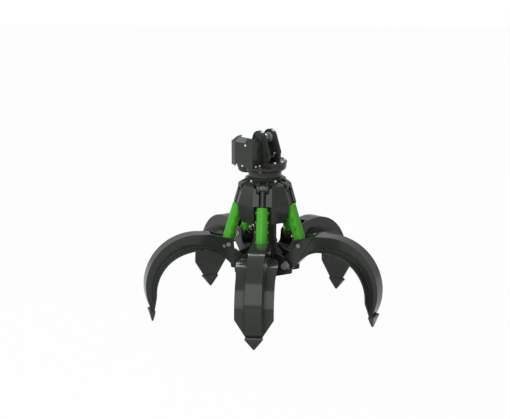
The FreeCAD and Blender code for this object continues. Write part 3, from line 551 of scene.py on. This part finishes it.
def makeEyePad():
    look = padLook
    middle = ((look["floor"] + look["face"]) / 2, 0.0, (look["low"] + look["high"]) / 2)
    clearSelection()
    bpy.ops.mesh.primitive_cube_add(size=1.0, location=middle,
                                    scale=(look["face"] - look["floor"], 2 * look["half"], look["high"] - look["low"]))
    pad = bpy.context.object
    bpy.ops.object.transform_apply()
    startEdit()
    pick("EDGE", lambda e: abs(e.verts[0].co.x - e.verts[1].co.x) > 0.003)
    bpy.ops.mesh.bevel(offset=look["corner"], segments=4, affect="EDGES")
    pick("FACE", lambda f: f.normal.x > 0.9)
    bpy.ops.mesh.inset(thickness=0.0010)
    bpy.ops.transform.translate(value=(0.0006, 0.0, 0.0))
    endEdit()
    paint(pad, platePaint)
    smoothByAngle(pad)
    return pad


# Saddle blocks on the inner side of the barrels' feet, where the nipples stand.
saddleLook = {"root": -0.026, "face": -0.0535, "half": 0.044, "low": -0.040, "high": 0.0475, "corner": 0.012, "edge": 0.003,
              "spigot": 0.0105, "nipple": 0.031}


def makeSaddle():
    look = saddleLook
    middle = ((look["root"] + look["face"]) / 2, 0.0, (look["low"] + look["high"]) / 2)
    clearSelection()
    bpy.ops.mesh.primitive_cube_add(size=1.0, location=middle,
                                    scale=(look["root"] - look["face"], 2 * look["half"], look["high"] - look["low"]))
    saddle = bpy.context.object
    bpy.ops.object.transform_apply()
    startEdit()
    pick("EDGE", lambda e: abs(e.verts[0].co.x - e.verts[1].co.x) > 0.01)
    bpy.ops.mesh.bevel(offset=look["corner"], segments=4, affect="EDGES")
    pick("EDGE", lambda e: max(v.co.x for v in e.verts) < look["face"] + 0.0001)
    bpy.ops.mesh.bevel(offset=look["edge"], segments=2, affect="EDGES")
    pick("FACE", lambda f: f.normal.x < -0.95 and f.calc_area() > 0.001)
    bpy.ops.mesh.inset(thickness=0.005)
    bpy.ops.transform.translate(value=(0.0012, 0.0, 0.0))
    endEdit()
    clearSelection()
    bpy.ops.mesh.primitive_cylinder_add(vertices=24, radius=look["spigot"], depth=0.008,
                                        location=(look["face"] - 0.001, 0.0, look["nipple"]),
                                        rotation=(0.0, math.radians(90.0), 0.0))
    spigot = bpy.context.object
    bpy.ops.object.transform_apply()
    startEdit()
    pick("EDGE", lambda e: max(v.co.x for v in e.verts) < look["face"] - 0.004)
    bpy.ops.mesh.bevel(offset=0.0012, segments=2, affect="EDGES")
    endEdit()
    clearSelection()
    spigot.select_set(True)
    saddle.select_set(True)
    bpy.context.view_layer.objects.active = saddle
    bpy.ops.object.join()
    paint(saddle, materials["crown_paint"])
    smoothByAngle(saddle)
    return saddle


nipple = makeNipple()
eyePad = makeEyePad()
saddle = makeSaddle()
for number, angle in enumerate(tineAngles, 1):
    cylinder = alongCylinder(angle)
    eyeSpot = cylinder @ Matrix.Translation((0.0, 0.0, cylinderLength))
    setDown(eyePad, "eyePad_%d" % number, eyeSpot, "rod_%d" % number)
    eyeFace = eyeSpot @ Matrix.Translation((padLook["face"] + 0.0004, 0.0, 0.0)) @ outward
    setDown(nipple, "rodNipple_%d" % number, eyeFace, "rod_%d" % number)
    setDown(saddle, "footSaddle_%d" % number, cylinder, "barrel_%d" % number)
    footFace = cylinder @ Matrix.Translation((saddleLook["face"] - 0.0048, 0.0, saddleLook["nipple"])) @ inward
    setDown(nipple, "footNipple_%d" % number, footFace, "barrel_%d" % number)
drop(eyePad)
drop(saddle)
print("eye pads, foot saddles and nipples set")

# Bracket hanging from the bearing's housing, with its own nipple low on it.
bracketLook = {"azimuth": -97.3, "face": 0.1945, "thick": 0.0045, "width": 0.038, "top": 1.412, "floor": 1.354,
               "nipple": 1.368, "nippleSide": 0.006, "boltSide": -0.013}


def makeBracket():
    look = bracketLook
    middle = (look["face"] + look["thick"] / 2, 0.0, (look["floor"] + look["top"]) / 2)
    clearSelection()
    bpy.ops.mesh.primitive_cube_add(size=1.0, location=middle,
                                    scale=(look["thick"], look["width"], look["top"] - look["floor"]))
    bracket = bpy.context.object
    bpy.ops.object.transform_apply()
    startEdit()
    pick("EDGE", lambda e: abs(e.verts[0].co.x - e.verts[1].co.x) > 0.003)
    bpy.ops.mesh.bevel(offset=0.009, segments=6, affect="EDGES")
    pick("FACE", lambda f: f.normal.x > 0.9)
    bpy.ops.mesh.inset(thickness=0.0010)
    bpy.ops.transform.translate(value=(0.0008, 0.0, 0.0))
    endEdit()
    paint(bracket, materials["head_paint"])
    smoothByAngle(bracket)
    return bracket


bracket = makeBracket()
neckFace = aboutAxis(bracketLook["azimuth"])
setDown(bracket, "greaseBracket", neckFace, "head")
bracketFace = Matrix.Translation((bracketLook["face"] + bracketLook["thick"] + 0.0006, bracketLook["nippleSide"],
                                  bracketLook["nipple"]))
setDown(nipple, "neckNipple", neckFace @ bracketFace @ outward, "head")
drop(bracket)
drop(nipple)

# Fork ears: thick rounded cheeks over the crown's forks, with the rods' eyes between them.
earLook = {"floorR": 0.148, "pin": (0.195, 1.222), "round": 0.0455, "shoulder": (0.232, 1.2475), "top": (0.1665, 1.2795),
           "inner": 0.0262, "outer": 0.0505, "edge": 0.0016}


def makeEar(side):
    look = earLook
    pinR, pinZ = look["pin"]
    arc = [(pinR + look["round"] * math.cos(math.radians(turn)), pinZ + look["round"] * math.sin(math.radians(turn)))
           for turn in range(-90, 1, 10)]
    outline = [(look["floorR"], pinZ - 0.034), (pinR - 0.012, pinZ - look["round"])] + arc
    outline += [look["shoulder"], look["top"], (look["floorR"], look["top"][1])]
    start = side * look["inner"]
    clearSelection()
    bpy.ops.mesh.primitive_circle_add(vertices=len(outline), radius=0.05, fill_type="NOTHING",
                                      location=(0.0, 0.0, 0.0))
    ear = bpy.context.object
    for corner, (reach, height) in zip(ear.data.vertices, outline):
        corner.co = (reach, start, height)
    startEdit()
    bpy.ops.mesh.select_all(action="SELECT")
    bpy.ops.mesh.edge_face_add()
    grow((0.0, side * (look["outer"] - look["inner"]), 0.0))
    pick("EDGE", lambda e: abs(e.verts[0].co.y - e.verts[1].co.y) < 0.0001 and abs(e.verts[0].co.y) > 0.03)
    bpy.ops.mesh.bevel(offset=look["edge"], segments=3, affect="EDGES")
    endEdit()
    paint(ear, earLitPaint)
    smoothByAngle(ear)
    return ear


for side in (-1, 1):
    ear = makeEar(side)
    for number, angle in enumerate(tineAngles, 1):
        setDown(ear, "forkEar%s_%d" % ("Left" if side > 0 else "Right", number), aboutAxis(angle), "crown")
    drop(ear)
print("fork ears set")

# Stepped plates closing the lower part of the crown's side arches.
archLook = {"back": 0.1470, "front": 0.1535, "outline": [(0.0505, 1.221), (0.0685, 1.221), (0.0685, 1.240),
                                                        (0.0815, 1.240), (0.0815, 1.258), (0.0505, 1.258)]}


def makeArchPlate(side):
    look = archLook
    clearSelection()
    bpy.ops.mesh.primitive_circle_add(vertices=len(look["outline"]), radius=0.05, fill_type="NOTHING",
                                      location=(0.0, 0.0, 0.0))
    plate = bpy.context.object
    for corner, (across, height) in zip(plate.data.vertices, look["outline"]):
        corner.co = (look["back"], side * across, height)
    startEdit()
    bpy.ops.mesh.select_all(action="SELECT")
    bpy.ops.mesh.edge_face_add()
    grow((look["front"] - look["back"], 0.0, 0.0))
    pick("EDGE", lambda e: min(v.co.x for v in e.verts) > look["front"] - 0.0001)
    bpy.ops.mesh.bevel(offset=0.0012, segments=2, affect="EDGES")
    endEdit()
    paint(plate, earLitPaint)
    return plate


for side in (-1, 1):
    archPlate = makeArchPlate(side)
    for number, angle in enumerate(tineAngles, 1):
        setDown(archPlate, "archPlate%s_%d" % ("Left" if side > 0 else "Right", number), aboutAxis(angle), "crown")
    drop(archPlate)
print("arch plates set")

# Bolts round the crown's roof: a painted boss, a washer and a hexagon head with a shallow dish.
roofBoltLook = {"radius": 0.1845, "first": -54.0, "floor": 1.262, "boss": 0.0135, "washer": 0.002, "head": 0.0090,
                "bossR": 0.0098, "washerR": 0.0098, "headR": 0.0088}


def makeRoofBolt():
    look = roofBoltLook
    clearSelection()
    bpy.ops.mesh.primitive_cylinder_add(vertices=32, radius=look["bossR"], depth=look["boss"],
                                        location=(0.0, 0.0, look["boss"] / 2))
    boss = bpy.context.object
    bpy.ops.object.transform_apply()
    startEdit()
    pick("EDGE", highest(look["boss"]))
    bpy.ops.mesh.bevel(offset=0.0008, segments=2, affect="EDGES")
    endEdit()
    paint(boss, materials["crown_paint"])
    seat = look["boss"] + look["washer"]
    clearSelection()
    bpy.ops.mesh.primitive_cylinder_add(vertices=32, radius=look["washerR"], depth=look["washer"],
                                        location=(0.0, 0.0, look["boss"] + look["washer"] / 2))
    washer = bpy.context.object
    bpy.ops.object.transform_apply()
    startEdit()
    pick("EDGE", highest(seat))
    bpy.ops.mesh.bevel(offset=0.0004, segments=2, affect="EDGES")
    endEdit()
    paint(washer, materials["bolt_zinc"])
    clearSelection()
    bpy.ops.mesh.primitive_cylinder_add(vertices=6, radius=look["headR"], depth=look["head"],
                                        location=(0.0, 0.0, seat + look["head"] / 2))
    head = bpy.context.object
    bpy.ops.object.transform_apply()
    startEdit()
    pick("FACE", lambda f: f.normal.z > 0.9)
    bpy.ops.mesh.inset(thickness=0.0014)
    bpy.ops.transform.translate(value=(0.0, 0.0, 0.0006))
    bpy.ops.mesh.inset(thickness=0.0016)
    bpy.ops.transform.translate(value=(0.0, 0.0, -0.0008))
    endEdit()
    paint(head, materials["bolt_zinc"])
    clearSelection()
    for item in (boss, washer, head):
        item.select_set(True)
    bpy.context.view_layer.objects.active = boss
    bpy.ops.object.join()
    smoothByAngle(boss)
    return boss


roofBolt = makeRoofBolt()
for number in range(5):
    spot = aboutAxis(roofBoltLook["first"] + 72.0 * number)
    spot = spot @ Matrix.Translation((roofBoltLook["radius"], 0.0, roofBoltLook["floor"]))
    fitted = setDown(roofBolt, "roofBolt_%d" % (number + 1), spot, "crown")
    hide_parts("crown_bolts")
drop(roofBolt)
print("roof bolts set")

# Pin through the hanger lugs, its ends painted over like the lugs, in the lighter ear paint, which is painted light.
hangerLook = {"height": 1.649, "radius": 0.0346, "half": 0.0885, "chamfer": 0.003, "collar": 0.0275, "bright": 0.070}


def makeHangerPin():
    look = hangerLook
    clearSelection()
    bpy.ops.mesh.primitive_cylinder_add(vertices=64, radius=look["radius"], depth=2 * look["collar"],
                                        location=(0.0, 0.0, 0.0))
    pin = bpy.context.object
    startEdit()
    pick("FACE", lambda f: abs(f.normal.z) > 0.9)
    bpy.ops.mesh.inset(thickness=0.0002)
    for side in (-1, 1):
        pick("FACE", lambda f: f.normal.z * side > 0.9 and len(f.verts) > 8)
        grow((0.0, 0.0, side * (look["half"] - look["collar"] - look["chamfer"])))
        bpy.ops.mesh.inset(thickness=look["chamfer"])
        bpy.ops.transform.translate(value=(0.0, 0.0, side * look["chamfer"]))
    pick("FACE", lambda f: abs(f.calc_center_median().z) > look["bright"])
    bpy.context.object.data.materials.append(pinBright)
    bpy.context.object.data.materials.append(earLitPaint)
    bpy.context.object.active_material_index = 1
    bpy.ops.object.material_slot_assign()
    endEdit()
    smoothByAngle(pin)
    return pin


hangerPin = makeHangerPin()
across = Matrix.Translation((0.0, axisY, hangerLook["height"])) @ Matrix.Rotation(math.radians(headAngle), 4, "Z")
setDown(hangerPin, "hangerPin", across @ outward, "head")
drop(hangerPin)
print("hanger pin set")

# Bright plate on the cover's slope.
plateLook = {"base": (-0.208, 1.613), "rise": (0.043, 0.047), "low": 0.10, "high": 0.94, "right": 0.050, "left": 0.170,
             "thick": 0.0016}


def makeSlopePlate():
    look = plateLook
    baseX, baseZ = look["base"]
    riseX, riseZ = look["rise"]
    length = math.hypot(riseX, riseZ)
    clearSelection()
    bpy.ops.mesh.primitive_plane_add(size=1.0, location=(0.0, 0.0, 0.0))
    plate = bpy.context.object
    corners = [(look["low"], look["right"]), (look["low"], look["left"]), (look["high"], look["right"]),
               (look["high"], look["left"] - 0.002)]
    for corner, (climb, along) in zip(plate.data.vertices, corners):
        corner.co = (baseX + riseX * climb, along, baseZ + riseZ * climb)
    startEdit()
    bpy.ops.mesh.select_all(action="SELECT")
    grow(tuple(look["thick"] * part / length for part in (-riseZ, 0.0, riseX)))
    bpy.ops.mesh.inset(thickness=0.0012)
    bpy.ops.transform.translate(value=tuple(0.0005 * part / length for part in (-riseZ, 0.0, riseX)))
    endEdit()
    paint(plate, platePaint)
    return plate


slopePlate = makeSlopePlate()
setDown(slopePlate, "coverPlate", aboutAxis(headAngle), "head")
drop(slopePlate)
print("cover plate set")

# Weld beads where the ribs' webs stand on the blades.
beadLook = {"radius": 0.0048, "side": 0.0745, "centre": (0.648, 0.291), "reach": 0.3965, "sweep": 115.0,
            "foot": (1.0535, 0.128)}


def makeBead(side):
    look = beadLook
    centreX, centreZ = look["centre"]
    clearSelection()
    bpy.ops.mesh.primitive_circle_add(vertices=8, radius=look["radius"], fill_type="NOTHING",
                                      location=(look["foot"][0], side, look["foot"][1]))
    bead = bpy.context.object
    bpy.ops.object.transform_apply()
    startEdit()
    bpy.ops.mesh.select_all(action="SELECT")
    bpy.ops.mesh.edge_face_add()
    bpy.ops.mesh.select_all(action="SELECT")
    rise = (centreX + look["reach"] - look["foot"][0], 0.0, centreZ - look["foot"][1])
    for turn in range(12):
        grow(tuple(part / 12 for part in rise))
    bpy.ops.mesh.spin(steps=64, angle=math.radians(look["sweep"]), center=(centreX, side, centreZ),
                      axis=(0.0, 1.0, 0.0))
    endEdit()
    paint(bead, weldPaint)
    smoothByAngle(bead, 60.0)
    return bead


for side in (-1, 1):
    bead = makeBead(side * beadLook["side"])
    for number, angle in enumerate(tineAngles, 1):
        setDown(bead, "bladeWeld%s_%d" % ("Left" if side > 0 else "Right", number), aboutAxis(angle),
                "tine_%d" % number)
    drop(bead)
print("blade welds laid")

# Rod wipers, standing out of the glands.
wiperLook = {"floor": 0.3715, "rings": [(0.0298, 0.0), (0.0298, 0.0042), (0.0345, 0.0048), (0.0345, 0.0072),
                                       (0.0290, 0.0098), (0.0256, 0.0088), (0.0256, 0.0)]}


def makeWiper():
    rings = wiperLook["rings"]
    radius, height = rings[0]
    clearSelection()
    bpy.ops.mesh.primitive_circle_add(vertices=48, radius=radius, fill_type="NOTHING",
                                      location=(0.0, 0.0, wiperLook["floor"] + height))
    wiper = bpy.context.object
    bpy.ops.object.transform_apply()
    startEdit()
    bpy.ops.mesh.select_all(action="SELECT")
    for nextRadius, nextHeight in rings[1:]:
        bpy.ops.mesh.extrude_region_move(TRANSFORM_OT_translate={"value": (0.0, 0.0, nextHeight - height)})
        bpy.ops.transform.resize(value=(nextRadius / radius, nextRadius / radius, 1.0),
                                 center_override=(0.0, 0.0, 0.0))
        radius, height = nextRadius, nextHeight
    pick("EDGE", lambda e: e.is_boundary)
    bpy.ops.mesh.bridge_edge_loops()
    endEdit()
    paint(wiper, rubber)
    smoothByAngle(wiper, 50.0)
    return wiper


wiper = makeWiper()
for number, angle in enumerate(tineAngles, 1):
    setDown(wiper, "rodWiper_%d" % number, alongCylinder(angle), "barrel_%d" % number)
drop(wiper)

# Hexagon plugs in the cylinders' oil ports.
plugLook = {"face": 0.0605, "heights": (0.088, 0.318), "radius": 0.0115, "depth": 0.009}


def makePlug():
    look = plugLook
    clearSelection()
    bpy.ops.mesh.primitive_cylinder_add(vertices=28, radius=look["radius"] * 1.04, depth=0.002,
                                        location=(0.0, 0.0, 0.001))
    collar = bpy.context.object
    bpy.ops.mesh.primitive_cylinder_add(vertices=6, radius=look["radius"], depth=look["depth"],
                                        location=(0.0, 0.0, look["depth"] / 2 + 0.001))
    plug = bpy.context.object
    bpy.ops.object.transform_apply()
    startEdit()
    pick("FACE", lambda f: f.normal.z > 0.9)
    bpy.ops.mesh.inset(thickness=0.0016)
    grow((0.0, 0.0, 0.0009))
    bpy.ops.mesh.inset(thickness=0.003)
    grow((0.0, 0.0, -0.0035))
    pick("EDGE", lambda e: abs(e.verts[0].co.z - e.verts[1].co.z) > 0.007)
    bpy.ops.mesh.bevel(offset=0.0007, segments=2, affect="EDGES")
    endEdit()
    clearSelection()
    collar.select_set(True)
    bpy.context.view_layer.objects.active = collar
    bpy.ops.object.transform_apply()
    plug.select_set(True)
    bpy.context.view_layer.objects.active = plug
    bpy.ops.object.join()
    paint(plug, materials["bolt_zinc"])
    smoothByAngle(plug)
    return plug


plug = makePlug()
for number, angle in enumerate(tineAngles, 1):
    for place, height in enumerate(plugLook["heights"], 1):
        where = alongCylinder(angle) @ Matrix.Translation((-plugLook["face"], 0.0, height)) @ inward
        setDown(plug, "portPlug_%d_%d" % (number, place), where, "barrel_%d" % number)
drop(plug)
print("wipers and port plugs fitted")


# The camera stands where the photograph's camera stood.
cameraLook = {
    "spot": (1.2451, -13.36315, 4.2682),
    "ahead": (-0.0961, 0.96693, -0.23626),
    "lens": 107.86,
    "roll": -0.136,
}


def addCamera():
    ahead = Vector(cameraLook["ahead"]).normalized()
    right = ahead.cross(Vector((0, 0, 1))).normalized()
    up = right.cross(ahead)
    turn = Matrix((right, up, -ahead)).transposed() @ Matrix.Rotation(math.radians(cameraLook["roll"]), 3, "Z")
    bpy.ops.object.camera_add()
    camera = bpy.context.object
    camera.matrix_world = Matrix.Translation(cameraLook["spot"]) @ turn.to_4x4()
    camera.data.sensor_width = 36.0
    camera.data.lens = cameraLook["lens"]
    camera.data.clip_end = 120.0
    bpy.context.scene.camera = camera


addCamera()

# Studio: white floor and surroundings, a front softbox, a strip behind and a fill from the left.
lightLook = {
    "softbox": {"azimuth": -97.0, "low": 1.5, "high": 43.0, "width": 4.2, "distance": 8.0, "watts": 135.0},
    "strip": {"azimuth": 82.0, "low": 44.0, "high": 62.0, "width": 6.0, "distance": 8.0, "watts": 330.0},
    "fill": {"azimuth": -165.0, "low": 12.0, "high": 46.0, "width": 4.0, "distance": 8.0, "watts": 70.0},
    "key": {"azimuth": -125.0, "low": 28.0, "high": 52.0, "width": 3.0, "distance": 8.0, "watts": 250.0,
            "hidden": True},
    "world": 0.40,
    "glossyWorld": 0.13,
    "glossyFloor": 0.42,
    "floorSize": 44.0,
}


def addPanel(name, look):
    middle = math.radians((look["low"] + look["high"]) / 2)
    half = math.radians((look["high"] - look["low"]) / 2)
    azimuth = math.radians(look["azimuth"])
    heart = Vector((0.0, axisY, 0.6))
    toward = Vector((math.cos(azimuth) * math.cos(middle), math.sin(azimuth) * math.cos(middle), math.sin(middle)))
    bpy.ops.object.light_add(type="AREA", location=heart + toward * look["distance"])
    lamp = bpy.context.object
    lamp.name = name
    lamp.rotation_euler = toward.to_track_quat("Z", "Y").to_euler()
    lamp.data.shape = "RECTANGLE"
    lamp.data.size = look["width"]
    lamp.data.size_y = 2 * look["distance"] * math.tan(half)
    lamp.data.energy = look["watts"]
    lamp.visible_camera = False
    lamp.visible_glossy = not look.get("hidden", False)


for lampName in ("softbox", "strip", "fill", "key"):
    addPanel(lampName, lightLook[lampName])


def addWorld():
    world = bpy.data.worlds.new("studio")
    bpy.context.scene.world = world
    world.use_nodes = True
    tree = world.node_tree
    ground = tree.nodes["Background"]
    ground.inputs["Color"].default_value = (1.0, 1.0, 1.0, 1.0)
    path = tree.nodes.new("ShaderNodeLightPath")
    camera = Signal(tree, path.outputs["Is Camera Ray"])
    glossy = Signal(tree, path.outputs["Is Glossy Ray"])
    through = Signal(tree, path.outputs["Is Transmission Ray"])
    seen = (camera + glossy * lightLook["glossyWorld"] + through).clipped()
    strength = lightLook["world"] + seen * (1.0 - lightLook["world"])
    tree.links.new(strength.socket, ground.inputs["Strength"])


def addFloor():
    bpy.ops.object.select_all(action="DESELECT")
    bpy.ops.mesh.primitive_plane_add(size=lightLook["floorSize"], location=(0.0, axisY, -0.0005))
    floor = bpy.context.object
    floor.name = "floor"
    shade = Shade("floorPale")
    shade.set(Base_Color=(0.50, 0.50, 0.50, 1.0), Roughness=0.9)
    path = shade.add("ShaderNodeLightPath", out=0)
    glossy = Signal(shade.tree, path.socket.node.outputs["Is Glossy Ray"])
    glow = shade.add("ShaderNodeEmission", Color=(1.0, 1.0, 1.0, 1.0), Strength=1.0)
    mixed = shade.tree.nodes.new("ShaderNodeMixShader")
    shade.feed(mixed.inputs[0], (path * 0.975 + glossy * lightLook["glossyFloor"]).clipped())
    shade.tree.links.new(shade.surface.outputs[0], mixed.inputs[1])
    shade.tree.links.new(glow.socket, mixed.inputs[2])
    shade.tree.links.new(mixed.outputs[0], shade.tree.nodes["Material Output"].inputs["Surface"])
    floor.data.materials.append(shade.material)


addWorld()
addFloor()
bpy.context.scene.view_settings.view_transform = "Standard"
print("camera, lamps and floor set")
